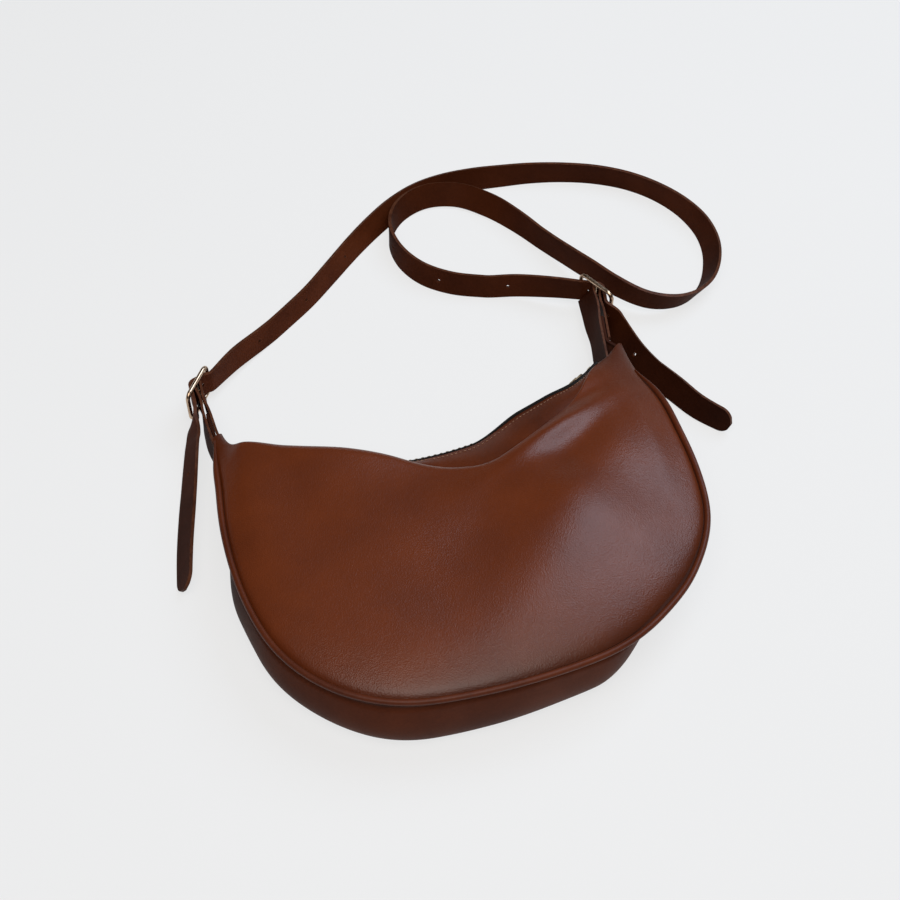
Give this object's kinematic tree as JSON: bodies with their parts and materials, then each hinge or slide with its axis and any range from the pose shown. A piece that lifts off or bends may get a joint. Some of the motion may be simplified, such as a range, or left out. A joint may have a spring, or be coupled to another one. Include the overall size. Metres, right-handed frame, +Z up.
{
  "type": "half moon shoulder bag",
  "caption": "Soft leather half moon shoulder bag lying on its back, piped front and back panels on a gusset, curved zip mouth and a long belt strap threaded through centre bar buckles.",
  "frame": {"origin": "middle of the back panel's outer face, on the surface the bag lies on", "axes": "+X across the bag to the right, +Y from the rounded bottom to the mouth, +Z up out of the front panel"},
  "size_m": [0.4243, 0.4354, 0.06],
  "materials": {
    "shell_leather": "soft smooth brown leather with a low sheen",
    "trim_leather": "smooth brown leather, edges turned",
    "strap_leather": "firm dark brown leather with painted edges",
    "zip_tape": "woven dark brown tape",
    "zip_metal": "polished pale gold metal",
    "lining_fabric": "plain woven lining",
    "buckle_metal": "polished pale gold metal"
  },
  "bodies": {
    "bag": {"front_panel": "shell_leather", "back_panel": "shell_leather", "gusset": "shell_leather", "front_piping": "trim_leather", "back_piping": "trim_leather", "front_zip_facing": "trim_leather", "back_zip_facing": "trim_leather", "front_zip_tape": "zip_tape", "back_zip_tape": "zip_tape", "front_zip_teeth": "zip_metal", "back_zip_teeth": "zip_metal", "left_zip_stop": "zip_metal", "right_zip_stop": "zip_metal", "front_lining": "lining_fabric", "back_lining": "lining_fabric", "left_tab": "strap_leather", "right_tab": "strap_leather", "strap": "strap_leather"},
    "slider": {"zip_slider": "zip_metal"},
    "pull": {"zip_pull": "zip_metal"},
    "left_frame": {"left_buckle_frame": "buckle_metal"},
    "left_prong": {"left_buckle_prong": "buckle_metal"},
    "right_frame": {"right_buckle_frame": "buckle_metal"},
    "right_prong": {"right_buckle_prong": "buckle_metal"}
  },
  "joints": [
    {"name": "zip_slide", "type": "hinge", "parent": "bag", "child": "slider", "pos_m": [0, 0.26884, 0.027], "axis": [0, 0, -1], "range_deg": [0, 57]},
    {"name": "pull_swing", "type": "hinge", "parent": "slider", "child": "pull", "pos_m": [0.10086, 0.0987, 0.027], "axis": [0, 0, -1], "range_deg": [0, 150]},
    {"name": "left_frame_turn", "type": "hinge", "parent": "bag", "child": "left_frame", "pos_m": [-0.12979, 0.17533, 0.0185], "axis": [0, 0, 1], "range_deg": [-2, 4]},
    {"name": "left_prong_lift", "type": "hinge", "parent": "left_frame", "child": "left_prong", "pos_m": [-0.12979, 0.17533, 0.0185], "axis": [0, 0, 1], "range_deg": [0, 8]},
    {"name": "right_frame_turn", "type": "hinge", "parent": "bag", "child": "right_frame", "pos_m": [0.14545, 0.17334, 0.0185], "axis": [0, 0, -1], "range_deg": [-2, 4]},
    {"name": "right_prong_lift", "type": "hinge", "parent": "right_frame", "child": "right_prong", "pos_m": [0.14545, 0.17334, 0.0185], "axis": [0, 0, -1], "range_deg": [0, 8]}
  ]
}
